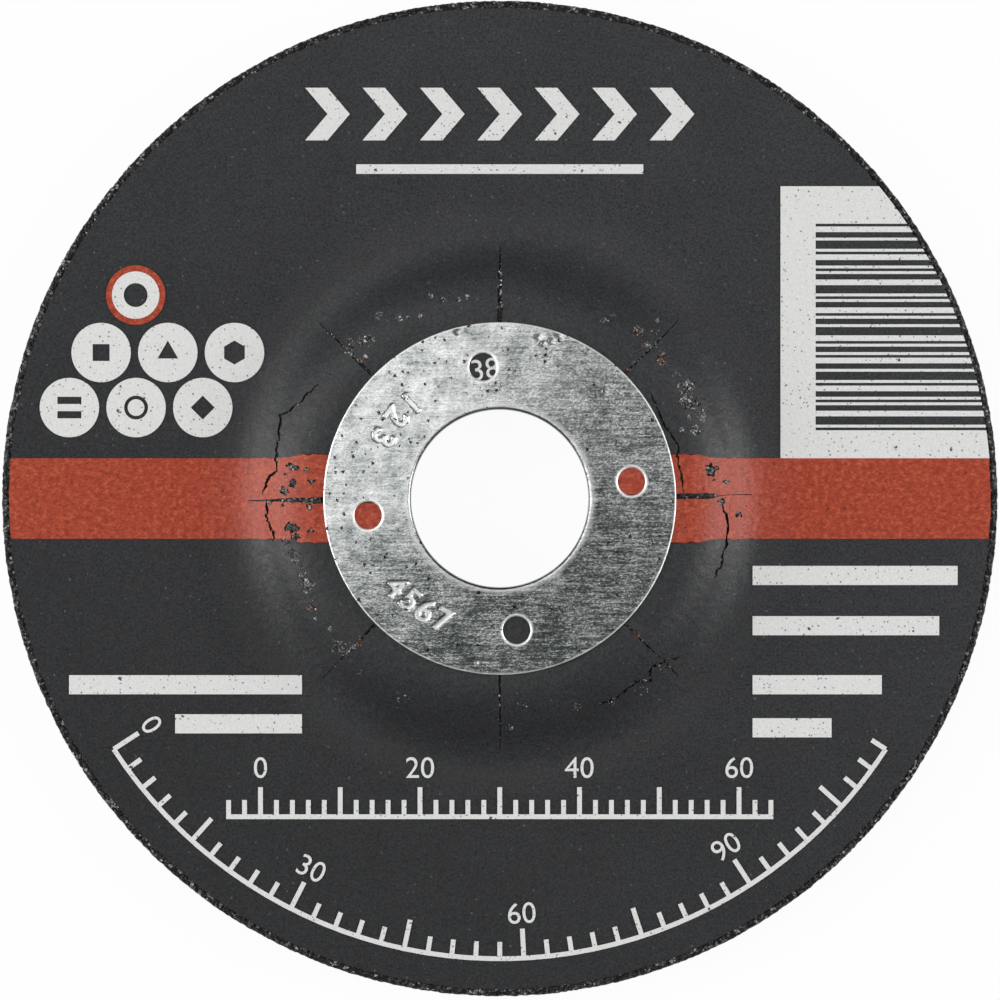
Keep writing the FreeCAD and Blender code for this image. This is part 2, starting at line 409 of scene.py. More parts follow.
def paleFinish():
    s = Shade("pale_ink")
    colour = s.ramp(s.noise(0.24 * mm, 3.0), (0.3, (0.61, 0.615, 0.605)), (0.7, (0.72, 0.72, 0.705)))
    fine = s.specks(0.55 * mm, 0.9, 0.04 * mm, 0.11 * mm)
    colour = s.mix(s.sum("MULTIPLY", fine, 0.85), colour, (0.08, 0.08, 0.08))
    holes = s.specks(1.6 * mm, 0.5, 0.07 * mm, 0.22 * mm)
    colour = s.mix(s.sum("MULTIPLY", holes, 0.92), colour, (0.02, 0.02, 0.022))
    s.feed(s.shader.inputs["Base Color"], colour)
    s.feed(s.shader.inputs["Roughness"], s.paperShine(0.6 * mm, 0.53, 0.84))
    s.feed(s.shader.inputs["Normal"], s.bump(s.noise(0.9 * mm, 2.0), 0.04 * mm))
    return s.material


def steelFinish():
    s = Shade("tinned_steel")
    # the rolled grain is worn smooth on one side
    coarse = s.fit(s.along(-40), -13 * mm, 9 * mm, 0.4, 1.0)
    cloud = s.noise(5.0 * mm, 3.0, 0.6)
    smear = s.noise(1.5 * mm, 2.0, 0.6)
    streaks = s.sum("SUBTRACT", s.noise(0.34 * mm, 3.0, 0.7, s.turned(-8, (0.07, 1, 1))), 0.5)
    streaks = s.sum("MULTIPLY", streaks, coarse)
    salt = s.sum("SUBTRACT", s.noise(0.16 * mm, 2.0, 0.7, s.turned(-8, (0.5, 1, 1))), 0.5)
    salt = s.sum("MULTIPLY", salt, coarse)
    tone = s.sum("ADD", s.fit(cloud, 0.3, 0.7, 0.32, 0.66), s.fit(smear, 0.3, 0.7, -0.17, 0.14))
    tone = s.sum("ADD", tone, s.sum("MULTIPLY", streaks, 1.9))
    tone = s.sum("ADD", tone, s.sum("MULTIPLY", salt, 2.7))
    # painted shade: the steel is darker towards the bottom of the face
    tone = s.sum("SUBTRACT", tone, s.fit(s.along(-85), -2 * mm, 18 * mm, 0.0, 0.25))
    colour = s.ramp(tone, (0.0, (0.11, 0.125, 0.122)), (0.35, (0.405, 0.43, 0.425)),
                    (0.6, (0.62, 0.63, 0.63)), (1.0, (0.92, 0.93, 0.925)))
    wearAndHighlight = s.painted("wearAndHighlight")                          # bright where the edges are rubbed, and painted highlight where they catch the light
    colour = s.mix(wearAndHighlight, colour, (0.93, 0.935, 0.93))
    # painted shade: the very edge of the bore is darkened
    colour = s.mix(s.painted("edge"), colour, (0.09, 0.09, 0.088))
    share = s.fit(s.along(-40), -20 * mm, 12 * mm, 0.85, 0.2)
    pits = s.specks(0.9 * mm, share, 0.07 * mm, 0.21 * mm)
    colour = s.mix(s.sum("MULTIPLY", pits, 0.95), colour, (0.012, 0.012, 0.012))
    s.feed(s.shader.inputs["Base Color"], colour)
    s.shader.inputs["Metallic"].default_value = 1.0
    rough = s.fit(streaks, -0.2, 0.2, 0.16, 0.28)
    s.feed(s.shader.inputs["Roughness"], s.sum("ADD", rough, s.sum("MULTIPLY", wearAndHighlight, 0.3)))
    # the face leans outwards a little
    dish = s.bump(s.sum("MULTIPLY", s.fromAxis(), -0.075), 1.0)
    dish = s.bump(cloud, 0.12 * mm, dish)
    dish = s.bump(smear, 0.03 * mm, dish)
    rolled = s.bump(streaks, 0.035 * mm, dish)
    grain = s.bump(salt, 0.05 * mm, rolled)
    s.feed(s.shader.inputs["Normal"], s.bump(s.sum("MULTIPLY", pits, -1.0), 0.06 * mm, grain))
    return s.material


blackTones = ((0.0, (0.003, 0.003, 0.004)), (0.4, (0.012, 0.012, 0.013)), (0.66, (0.045, 0.044, 0.043)),
              (0.86, (0.12, 0.12, 0.12)), (1.0, (0.36, 0.36, 0.35)))
greyTones = ((0.0, (0.025, 0.025, 0.027)), (0.35, (0.10, 0.102, 0.102)), (0.65, (0.215, 0.22, 0.21)),
             (0.88, (0.40, 0.41, 0.39)), (1.0, (0.74, 0.74, 0.72)))
rustyTones = ((0.0, (0.03, 0.018, 0.014)), (0.4, (0.16, 0.065, 0.04)), (0.7, (0.27, 0.13, 0.085)),
              (0.9, (0.42, 0.27, 0.21)), (1.0, (0.6, 0.5, 0.44)))
blackGrit = gritFinish("black_grit", 0.36 * mm, 0.18, blackTones, (0.75, 0.3))
greyGrit = gritFinish("bared_grit", 0.26 * mm, 0.07, greyTones, (0.5, 0.25))
rustyGrit = gritFinish("rusty_grit", 0.26 * mm, 0.07, rustyTones, (0.6, 0.35))
darkPaper = labelFinish()
brickRed = redFinish()
paleInk = paleFinish()
tinnedSteel = steelFinish()


print("abrasive disc")
disc = {
    "steps": 420,              # parts round the axis
    "hiddenCell": 5 * mm,      # under the ring
    "flatCell": 9 * mm,        # under the label
    "underCell": 0.75 * mm,
    "slopeCell": 0.55 * mm,
    "slitCell": 0.42 * mm,
    "rimCell": 0.95 * mm,      # cut in three by the subdivision
    "rimZone": 59.3 * mm,      # beyond this radius the grains are modelled finer
    "topMargin": 1.2 * mm,     # and this much later on the label side
    "shoulderArc": 5.6 * mm,   # half the shoulder's slope, and half the recess's
    "recessArc": 5.4 * mm,
    "mergeGap": 0.004 * mm,
    "grainSize": 0.85 * mm,
    "grainDepth": 0.95 * mm,
    "waveSize": 3.2 * mm,
    "waveDepth": 0.22 * mm,
    "peakLevel": 0.2,
    "softReach": 0.16 * mm,    # the highest peaks are pressed back within this of the turned form
    "standProud": 0.2 * mm,    # grains beside the label's edge
    "boreCalm": 0.4 * mm,      # no grain this near to the bore's wall
    "rimBand": 4 * mm,
    "calmShare": 0.75,         # of the grain, between the rim and the bore
}


def makeAbrasiveDisc():
    f = form
    edge = f["edgeRound"]
    bore = f["boreWall"]
    rimTop = (discRadius - edge, flatTop)
    zoneTop = (disc["rimZone"] + disc["topMargin"], flatTop)
    outline = straight((bore + f["mouthDrop"], hubTop), (ringRadius, hubTop), disc["hiddenCell"])
    outline += straight((ringRadius, hubTop), (f["hubFlatRadius"], hubTop), disc["slitCell"])
    outline += shoulder(0, round(disc["shoulderArc"] / disc["slitCell"]))
    outline += straight((f["shoulderRadius"], flatTop), zoneTop, disc["flatCell"])
    outline += straight(zoneTop, rimTop, disc["rimCell"])
    outline += arcOf((rimTop[0], flatTop - edge), edge, 90, 0, 2)
    outline += straight((discRadius, flatTop - edge), (discRadius, edge), disc["rimCell"])
    outline += arcOf((rimTop[0], edge), edge, 0, -90, 2)
    outline += straight((rimTop[0], 0), (disc["rimZone"], 0), disc["rimCell"])
    outline += straight((disc["rimZone"], 0), (f["recessMouthRadius"], 0), disc["underCell"])
    slopeSteps = round(disc["recessArc"] / disc["slopeCell"])
    slope = doubleCurve(f["recessFloorRadius"], f["recessMouthRadius"], f["recessTop"], 0, 0, slopeSteps)
    outline += slope[::-1]
    outline += straight((f["recessFloorRadius"], f["recessTop"]), (bore, f["recessTop"]), disc["underCell"])
    outline += [(bore, hubTop - f["mouthDrop"])]
    clean = [outline[0]]
    for point in outline[1:]:
        if math.dist(point, clean[-1]) > disc["mergeGap"]:
            clean.append(point)
    obj = turnOutline("abrasiveDisc", clean, disc["steps"])

    pick(obj, lambda centre, normal: flatRadius(centre) > disc["rimZone"] and
         not (normal.z > 0.9 and flatRadius(centre) < zoneTop[0]))
    bpy.ops.mesh.subdivide(number_cuts=2)
    bpy.ops.object.mode_set(mode="OBJECT")

    def gritWeight(co):
        r = flatRadius(co)
        if co.z > hubTop - 0.05 * mm and r < ringRadius:
            return 0.0
        if r < bore + disc["boreCalm"]:
            return 0.0
        return 1.0 if r > discRadius - disc["rimBand"] or co.z < flatTop - mm else disc["calmShare"]

    group(obj, "grit", gritWeight)
    grains = bpy.data.textures.new("grains", "VORONOI")
    grains.noise_scale = disc["grainSize"]
    grains.weight_1 = -1.0
    grains.weight_2 = 1.0
    waves = bpy.data.textures.new("waves", "CLOUDS")
    waves.noise_scale = disc["waveSize"]
    for name, texture, depth in (("waves", waves, disc["waveDepth"]), ("grains", grains, disc["grainDepth"])):
        push = obj.modifiers.new(name, "DISPLACE")
        push.texture = texture
        push.texture_coords = "LOCAL"
        push.vertex_group = "grit"
        push.mid_level = disc["peakLevel"]
        push.strength = depth
    applyAll(obj)
    soft = disc["softReach"]
    for vert in obj.data.vertices:               # no grain stands past the turned form
        r = flatRadius(vert.co)
        past = r - (discRadius - soft)
        if past > 0:
            pressed = discRadius - soft + soft * math.tanh(past / soft)
            vert.co.x *= pressed / r
            vert.co.y *= pressed / r
        ceiling = topOf(r) + (disc["standProud"] if r > labelRadius else 0.0)
        vert.co.z = max(0.0, min(vert.co.z, ceiling))
    hold(obj)
    bpy.ops.object.shade_flat()
    print("  faces", len(obj.data.polygons), "box", [round(v / mm, 2) for v in obj.dimensions])
    return obj


finishPiece(makeAbrasiveDisc(), "abrasive", blackGrit, "abrasive_body")


print("tears, slits and cracks in the paper")
tear = {
    "foot": flatTop - 1.5 * mm,    # the cutters stand from below the flat to over the hub
    "height": 7.5 * mm,
    "crackWidth": 0.27 * mm,
    "crackWander": 0.17 * mm,
    "crackSteps": 5,               # from one place of a line to the next
    "crackTip": 0.35,              # share of the width at a crack's ends, and how fast it grows
    "crackGrowth": 0.3,
    "crackRagged": (0.5, 1.5),
    "spotCorners": 15,
    "spotLong": (1.0, 1.4),
    "spotWide": (0.65, 1.0),
    "spotRagged": (0.4, 1.35),
}
slit = {
    "innerEnd": 14.0 * mm,
    "mouth": 23.4 * mm,
    "tip": 31.6 * mm,
    "wideEnd": 27.3 * mm,          # the first slit stays wide up to here, then closes at once
    "places": 26,
    "hairline": 0.05 * mm,
    "taper": 1.3,
    "jitter": 0.06 * mm,
    "jitterShare": 0.6,            # of it, past the mouth; within the mouth the slit runs straight
    "ragged": (0.8, 1.2),
}
# the eight slits: angle, and half the width at the mouth in mm
slitMouths = ((0.7, 0.33), (45, 0.17), (90, 0.36), (135.9, 0.24), (180.6, 0.40), (225.3, 0.18), (270, 0.13),
              (315, 0.16))

# torn lines through the paper, each a run of places in the photograph
crackLines = (
    ((318, 384), (302, 402), (281, 416), (280, 436), (277, 454), (277, 470), (268, 480), (263, 495)),
    ((268, 500), (267, 516), (270, 526), (275, 533), (273, 541)),
    ((651, 393), (656, 409), (667, 432), (679, 448), (676, 458), (679, 470), (683, 492)),
    ((722, 497), (723, 508), (727, 526), (725, 548), (719, 567), (714, 578)),
    ((679, 657), (656, 663), (649, 672), (651, 680), (634, 682), (623, 693), (612, 700), (594, 705)),
)

# places where the paper is worn through to the grit, with their size across in pixels
bareSpots = (
    (661, 360, 9), (638, 331, 8), (646, 346, 7), (688, 386, 12), (690, 404, 13), (702, 418, 8),
    (694, 431, 8), (308, 584, 11), (312, 606, 7), (342, 650, 10), (366, 341, 9), (352, 353, 6),
    (297, 556, 7), (271, 503, 5), (293.5, 467, 10), (307, 470, 6), (286, 475, 4), (294, 484, 9),
    (311.5, 481, 8), (285, 491, 9), (284, 505, 5), (311, 507, 7), (293, 527, 12), (311.5, 530, 6),
    (297, 537, 9), (286, 541, 7), (295, 554, 8), (302, 567, 4), (306, 582, 9), (710, 469, 13),
    (713, 480, 4), (726, 482, 5), (739, 514, 6), (721, 501, 9), (431, 298, 5), (442, 301, 5),
    (459, 299, 5), (468, 298, 4), (379, 317, 6), (401, 319, 5), (421, 317, 4), (352, 345, 8),
    (366, 357, 6), (373, 340, 5), (641, 333, 6), (656, 322, 5), (686, 396, 10), (688, 418, 5),
    (681, 430, 5), (347, 652, 8), (355, 646, 5), (510, 726, 6), (575, 705, 6), (331, 628, 4),
    (700, 411, 4),
)


def ribbon(name, points, widths):
    # an upright strip along the points, made from a grid that is laid out along them
    letGo()
    bpy.ops.mesh.primitive_grid_add(x_subdivisions=len(points) - 1, y_subdivisions=1, size=1)
    obj = bpy.context.object
    obj.name = name
    rows = sorted(obj.data.vertices, key=lambda v: (round(v.co.x, 4), v.co.y))
    for number, point in enumerate(points):
        along = points[min(number + 1, len(points) - 1)] - points[max(number - 1, 0)]
        across = up.cross(along).normalized()
        for side, vert in zip((-1, 1), rows[2 * number:2 * number + 2]):
            place = point + across * side * widths[number]
            vert.co = (place.x, place.y, tear["foot"])
    return standUp(obj)


def standUp(obj):
    bpy.ops.object.mode_set(mode="EDIT")
    bpy.ops.mesh.select_all(action="SELECT")
    bpy.ops.mesh.extrude_region_move(TRANSFORM_OT_translate={"value": (0, 0, tear["height"])})
    bpy.ops.mesh.select_all(action="SELECT")
    bpy.ops.mesh.normals_make_consistent(inside=False)
    bpy.ops.object.mode_set(mode="OBJECT")
    return obj


def makeSlit(angle, halfMouth, luck):
    turn = math.radians(angle)
    out = Vector((math.cos(turn), math.sin(turn), 0))
    side = up.cross(out)
    points, widths, drift = [], [], 0.0
    for step in range(slit["places"]):
        r = slit["innerEnd"] + (slit["tip"] - slit["innerEnd"]) * step / (slit["places"] - 1)
        drift += luck.uniform(-1, 1) * slit["jitter"] * (slit["jitterShare"] if r > slit["mouth"] else 0)
        share = max(0.0, min(1.0, (slit["tip"] - r) / (slit["tip"] - slit["mouth"])))
        width = slit["hairline"] + (halfMouth * mm - slit["hairline"]) * share ** slit["taper"]
        if angle == slitMouths[0][0]:
            width = halfMouth * mm if r < slit["wideEnd"] else slit["hairline"]
        points.append(out * r + side * drift)
        widths.append(width * luck.uniform(*slit["ragged"]))
    return ribbon("slitCutter", points, widths)


def makeCrack(line, luck):
    points, widths = [], []
    places = [fromPhoto(*place) for place in line]
    for here, there in zip(places, places[1:]):
        for step in range(tear["crackSteps"]):
            wander = Vector((luck.uniform(-1, 1), luck.uniform(-1, 1), 0)) * tear["crackWander"]
            points.append(here.lerp(there, step / tear["crackSteps"]) + wander)
    points.append(places[-1])
    for number in range(len(points)):
        end = min(number, len(points) - 1 - number)
        opened = min(1.0, tear["crackTip"] + tear["crackGrowth"] * end)
        widths.append(tear["crackWidth"] / 2 * opened * luck.uniform(*tear["crackRagged"]))
    return ribbon("crackCutter", points, widths)


def makeBareSpot(x, y, across, luck):
    letGo()
    bpy.ops.mesh.primitive_circle_add(vertices=tear["spotCorners"], radius=1, fill_type="NGON")
    obj = bpy.context.object
    obj.name = "spotCutter"
    centre = fromPhoto(x, y)
    reach = across / 2 / photo["pixelsPerMm"] * mm
    lean = Matrix.Rotation(luck.uniform(0, 3.1), 3, "Z")
    drawn = lean @ Matrix.Diagonal((luck.uniform(*tear["spotLong"]), luck.uniform(*tear["spotWide"]), 1))
    for vert in obj.data.vertices:
        place = centre + drawn @ vert.co * reach * luck.uniform(*tear["spotRagged"])
        vert.co = (place.x, place.y, tear["foot"])
    return standUp(obj)


def makeTears():
    # all the cuts as one solid
    luck = random.Random(27)
    cuts = [makeSlit(angle, width, luck) for angle, width in slitMouths]
    cuts += [makeCrack(line, luck) for line in crackLines]
    cuts += [makeBareSpot(*spot, luck) for spot in bareSpots]
    for cut in cuts[1:]:
        combine(cuts[0], cut, "UNION")
        bpy.data.objects.remove(cut)
    return cuts[0]


tears = makeTears()


print("paper label and red band")
paper = {
    "steps": 400,
    "shoulderSteps": 16,
    "flatCell": 9 * mm,
    "hubCell": 10 * mm,
    "bareCell": 0.6 * mm,          # between the ring and the shoulder
    "edgeWander": 0.12 * mm,
    "edgeWave": 1.3 * mm,
    "edgeInset": 0.6,              # the wander's middle, so that the edge hardly comes outwards
    "pushedApart": 0.42 * mm,      # the band beside an open slit
    "pushedFade": 2 * mm,
}


def makeSheet(name, low, high):
    hole, hub, foot = form["labelHole"], form["hubFlatRadius"], form["shoulderRadius"]
    top = straight((hole, hubTop + high), (ringRadius, hubTop + high), paper["hubCell"])
    top += straight((ringRadius, hubTop + high), (hub, hubTop + high), paper["bareCell"])[1:]
    top += shoulder(high, paper["shoulderSteps"])[1:]
    top += straight((foot, flatTop + high), (labelRadius, flatTop + high), paper["flatCell"])[1:]
    under = straight((labelRadius, flatTop + low), (foot, flatTop + low), paper["flatCell"])
    under += shoulder(low, paper["shoulderSteps"])[::-1][1:]
    under += straight((hub, hubTop + low), (hole, hubTop + low), paper["hubCell"])[1:]
    obj = turnOutline(name, top + under, paper["steps"])
    for vert in obj.data.vertices:                        # the cut edge wanders a little
        if flatRadius(vert.co) > labelRadius - 0.01 * mm:
            wander = noise.noise(Vector((vert.co.x, vert.co.y, 0)) / paper["edgeWave"]) - paper["edgeInset"]
            vert.co += Vector((vert.co.x, vert.co.y, 0)).normalized() * wander * paper["edgeWander"]
    return obj


def makePaperLabel():
    obj = makeSheet("paperLabel", 0, labelSheet)
    combine(obj, tears, "DIFFERENCE")
    smooth(obj)
    print("  paper faces", len(obj.data.polygons))
    return obj


def makeRedPrint():
    obj = makeSheet("redPrint", labelSheet, labelSheet + inkSheet)
    hold(obj)
    bpy.ops.object.mode_set(mode="EDIT")
    for side in (-1, 1):
        bpy.ops.mesh.select_all(action="SELECT")
        bpy.ops.mesh.bisect(plane_co=(0, side * form["halfBand"], 0), plane_no=(0, side, 0),
                            use_fill=True, clear_outer=True)
    bpy.ops.object.mode_set(mode="OBJECT")
    for vert in obj.data.vertices:                        # the open slits push the band apart at the hub
        share = max(0.0, min(1.0, (slit["wideEnd"] - flatRadius(vert.co)) / paper["pushedFade"]))
        vert.co.y *= 1 + share * paper["pushedApart"] / form["halfBand"]
    combine(obj, tears, "DIFFERENCE")
    ring = makeTargetRing()
    hold(obj)
    ring.select_set(True)
    bpy.ops.object.join()
    smooth(obj)
    print("  red faces", len(obj.data.polygons))
    return obj


target = {"place": (-45.65 * mm, 25.5 * mm), "outer": 3.73 * mm, "inner": 2.98 * mm, "steps": 72}


def makeTargetRing():
    low = flatTop + labelSheet
    high = low + inkSheet
    inner, outer = target["inner"], target["outer"]
    outline = [(inner, low), (inner, high), (outer, high), (outer, low)]
    ring = turnOutline("targetRing", outline, target["steps"])
    ring.location = (*target["place"], 0)
    return settle(ring)


finishPiece(makePaperLabel(), "label", darkPaper, "paper_label")
finishPiece(makeRedPrint(), "red_ink", brickRed, "red_print")
bpy.data.objects.remove(tears)


print("grains bared in the tears")
grain = {
    "small": 0.13 * mm,
    "large": 0.31 * mm,
    "perSpot": 17,
    "perSlit": 55,             # for each mm of the half width at the mouth
    "ringGap": 2.2 * mm,       # the stretch of a slit that they fill, from the ring
    "tipGap": 1.5 * mm,        # to this far from its tip
    "proud": 0.10 * mm,
    "sunk": 0.08 * mm,
    "tiny": 0.07 * mm,         # where single grains break through the paper
    "middling": 0.21 * mm,
    "peek": 0.12 * mm,
    "peekShare": (0.3, 1),
    "crowding": 1.9,
    "ragged": (0.6, 1.15),
}

# clusters of grains that break through: place, size across in pixels and how many
greyClusters = (
    (655, 334, 14, 8, 9), (651, 345, 12, 9, 12), (685, 388, 20, 14, 30), (688, 403, 20, 15, 34),
    (701, 418, 10, 11, 14), (694, 431, 11, 11, 13), (676, 375, 9, 7, 7), (663, 353, 9, 6, 6),
    (632, 363, 8, 6, 6), (308, 585, 17, 15, 26), (316, 620, 4, 8, 5), (342, 648, 20, 15, 22),
    (336, 640, 8, 6, 5), (404, 698, 20, 7, 5), (361, 671, 8, 7, 4), (366, 341, 18, 14, 18),
    (352, 353, 12, 12, 10), (350, 341, 8, 6, 6), (402, 318, 16, 7, 8), (381, 316, 8, 8, 5),
    (297, 556, 10, 16, 16), (303, 573, 8, 10, 8), (604, 322, 9, 6, 5), (612, 316, 8, 6, 4),
    (637, 331, 9, 8, 8), (524, 703, 14, 6, 5), (660, 668, 16, 8, 8), (641, 690, 14, 8, 8),
    (613, 702, 14, 6, 6), (577, 706, 12, 6, 5),
)
rustyClusters = (
    (637, 331, 9, 10, 9), (644, 347, 8, 8, 9), (661, 360, 11, 13, 16), (312, 606, 10, 13, 13),
    (360, 642, 6, 8, 8), (363, 360, 5, 6, 6), (636, 633, 6, 6, 6), (627, 371, 6, 6, 3),
    (660, 365, 6, 4, 3),
)


def surfaceHeight(r):
    # the top of the paper at a radius
    return topOf(r) + labelSheet


def tearPlaces(luck):
    # in the tears the grains lie low, up to a little over the paper
    places = []
    for x, y, across in bareSpots:
        centre = fromPhoto(x, y)
        reach = across / 2 / photo["pixelsPerMm"] * mm
        for number in range(grain["perSpot"] + round(across / 2)):
            angle = luck.uniform(0, 2 * math.pi)
            out = reach * 0.95 * math.sqrt(luck.random())
            places.append(centre + Vector((math.cos(angle), math.sin(angle), 0)) * out)
    for angle, halfMouth in slitMouths:
        turn = math.radians(angle)
        along = Vector((math.cos(turn), math.sin(turn), 0))
        for number in range(round(grain["perSlit"] * halfMouth)):
            r = luck.uniform(ringRadius + grain["ringGap"], slit["tip"] - grain["tipGap"])
            places.append(along * r + up.cross(along) * luck.uniform(-0.9, 0.9) * halfMouth * mm)
    sunk, proud = grain["sunk"], grain["proud"]
    return [(place, luck.uniform(grain["small"], grain["large"]), luck.uniform(-sunk, proud))
            for place in places]


def clusterPlaces(clusters, luck):
    # elsewhere only their tips stand through the paper
    places = []
    for x, y, wide, tall, number in clusters:
        for stone in range(round(number * grain["crowding"])):
            angle, out = luck.uniform(0, 2 * math.pi), math.sqrt(luck.random())
            place = fromPhoto(x + wide / 2 * out * math.cos(angle), y + tall / 2 * out * math.sin(angle))
            size = luck.uniform(grain["tiny"], grain["middling"])
            places.append((place, size, grain["peek"] * luck.uniform(*grain["peekShare"])))
    return places


def makeGrains(name, places, luck):
    letGo()
    bpy.ops.mesh.primitive_ico_sphere_add(subdivisions=1, radius=1)
    seed = bpy.context.object
    stones = []
    for place, size, proud in places:
        stone = seed.copy()
        stone.data = seed.data.copy()
        bpy.context.scene.collection.objects.link(stone)
        angle = luck.uniform(0, 6.3)
        axis = Vector((luck.random(), luck.random(), luck.random() + 0.1))
        turn = Matrix.Rotation(angle, 3, axis)
        for vert in stone.data.vertices:
            vert.co = turn @ (vert.co * luck.uniform(*grain["ragged"])) * size
        high = surfaceHeight(flatRadius(place)) + proud
        stone.location = (place.x, place.y, high - max(v.co.z for v in stone.data.vertices))
        stones.append(stone)
    bpy.data.objects.remove(seed)
    hold(stones[0])
    for stone in stones:
        stone.select_set(True)
    bpy.ops.object.join()
    obj = bpy.context.object
    obj.name = name
    settle(obj)
    bpy.ops.object.shade_flat()
    print("  grains", len(stones), "faces", len(obj.data.polygons))
    return obj


grainLuck = random.Random(5)
greyPlaces = tearPlaces(grainLuck) + clusterPlaces(greyClusters, grainLuck)
finishPiece(makeGrains("baredGrains", greyPlaces, grainLuck), "abrasive", greyGrit)
rustyPlaces = clusterPlaces(rustyClusters, grainLuck)
finishPiece(makeGrains("rustyGrains", rustyPlaces, grainLuck), "abrasive", rustyGrit)


print("hub ring")
ring = {
    "steps": 700,
    "cell": 0.12 * mm,
    "collarCell": 1.2 * mm,
    "underCell": 3 * mm,
    "sheet": 0.4 * mm,
    "boreRadius": 11.115 * mm,
    "bend": 0.44 * mm,
    "rimRound": 0.12 * mm,
    "holeRadius": 1.7 * mm,
    "holeRound": 0.25 * mm,
    "holeSteps": 64,
    "holeCircle": 16.5575 * mm,
    "holeTurn": 7.3,
    "faceDepth": 0.6 * mm,         # what lies within this of the top counts as the face
    "waveSize": 5.5 * mm,
    "waveDepth": 0.05 * mm,
    "stampDepth": 0.15 * mm,
    "stampHeight": 2.8 * mm,
    "stampStroke": 0.04 * mm,      # the punch spreads each stroke by this on both sides
    "stampReach": 0.19 * mm,
    "stampBrightness": 0.8,
    "dentSizes": (0.08 * mm, 0.11 * mm, 0.14 * mm),
    "dentDepth": 0.12 * mm,
    "dentReach": 0.45 * mm,
    "lipBrightReach": 1.05 * mm,          # how far the rubbed brightness and painted highlight run in from the bore
    "lipGain": 1.7,
    "lipShine": 0.6,
    "lipShadeWidth": 0.26 * mm,          # the very edge is painted dark, as shade
    "boreShadeDark": 0.9,
    "boreShadeFall": 1.9,
    "rimBrightReach": 0.13 * mm,
    "rimShine": 0.9,
    "holeBrightReach": 0.2 * mm,
}
# plain figures pressed into the steel: place in the photograph and turn in degrees
stamps = (("1", 411, 403, 222), ("2", 396, 417, 232), ("3", 383, 438, 242),
          ("4", 396, 587, -49.5), ("5", 410, 600, -41.5), ("6", 425, 611, -33.6), ("7", 442, 620, -25.3))
dents = ((538, 338), (551, 342), (559, 336), (543, 345), (475, 661), (458, 333), (566, 641), (604, 392))


def ringOutline():
    bore, bend, sheet = ring["boreRadius"], ring["bend"], ring["sheet"]
    middle = (bore + bend, ringTop - bend)
    rim = ring["rimRound"]
    outline = straight((bore, collarFoot), (bore, middle[1]), ring["collarCell"])
    outline += arcOf(middle, bend, 180, 90, 10)[1:]
    outline += straight((middle[0], ringTop), (ringRadius - rim, ringTop), ring["cell"])[1:]
    outline += arcOf((ringRadius - rim, ringTop - rim), rim, 90, 0, 4)[1:]
    outline += [(ringRadius, ringTop - sheet)]
    outline += straight((ringRadius, ringTop - sheet), (middle[0], ringTop - sheet), ring["underCell"])[1:]
    outline += arcOf(middle, bend - sheet, 90, 180, 5)[1:]
    outline += [(bore + sheet, collarFoot)]
    return outline


def makeHoleCutter():
    # as wide as the hole below, flaring out at the top as the punched lip does
    radius, lip = ring["holeRadius"], ring["holeRound"]
    outline = [(0.0, ringTop - 2 * ring["sheet"]), (radius, ringTop - 2 * ring["sheet"])]
    outline += [(radius + lip - x, z) for x, z in arcOf((0, ringTop - lip), lip, 0, 90, 6)]
    outline += [(radius + lip, ringTop + lip), (0.0, ringTop + lip)]
    return turnOutline("holeCutter", outline, ring["holeSteps"])


def press(obj, tool, depth, reach, spread=0.0):
    # the tool's shape is pushed into the sheet, softly within its reach
    obj.vertex_groups.new(name=tool.name)
    obj.vertex_groups[tool.name].add(range(len(obj.data.vertices)), 1.0, "REPLACE")
    near = obj.modifiers.new("near", "VERTEX_WEIGHT_PROXIMITY")
    near.vertex_group = tool.name
    near.target = tool
    near.proximity_mode = "GEOMETRY"
    near.proximity_geometry = {"FACE"}
    near.min_dist = reach
    near.max_dist = spread
    near.falloff_type = "SMOOTH"
    push = obj.modifiers.new("push", "DISPLACE")
    push.vertex_group = tool.name
    push.direction = "Z"
    push.mid_level = 0.0
    push.strength = -depth
    applyAll(obj)


def makeStamps():
    figures = []
    for body, x, y, turn in stamps:
        letGo()
        bpy.ops.object.text_add()
        figure = bpy.context.object
        figure.data.body = body
        figure.data.align_x = "CENTER"
        figure.data.align_y = "CENTER"
        figure.data.size = ring["stampHeight"] / capShare
        bpy.ops.object.convert(target="MESH")
        figure.location = fromPhoto(x, y) + up * ringTop
        figure.rotation_euler = (0, 0, math.radians(turn))
        figures.append(settle(figure))
    hold(figures[0])
    for figure in figures:
        figure.select_set(True)
    bpy.ops.object.join()
    bpy.context.object.name = "stamps"
    return bpy.context.object


def makeDents():
    letGo()
    balls = []
    for number, (x, y) in enumerate(dents):
        size = ring["dentSizes"][number % len(ring["dentSizes"])]
        place = fromPhoto(x, y) + up * ringTop
        bpy.ops.mesh.primitive_ico_sphere_add(subdivisions=2, radius=size, location=place)
        balls.append(bpy.context.object)
    for ball in balls:
        ball.select_set(True)
    bpy.ops.object.join()
    bpy.context.object.name = "dents"
    return bpy.context.object


def holeCentres():
    for number in range(4):
        turn = math.radians(ring["holeTurn"] + 90 * number)
        yield Vector((ring["holeCircle"] * math.cos(turn), ring["holeCircle"] * math.sin(turn), 0))


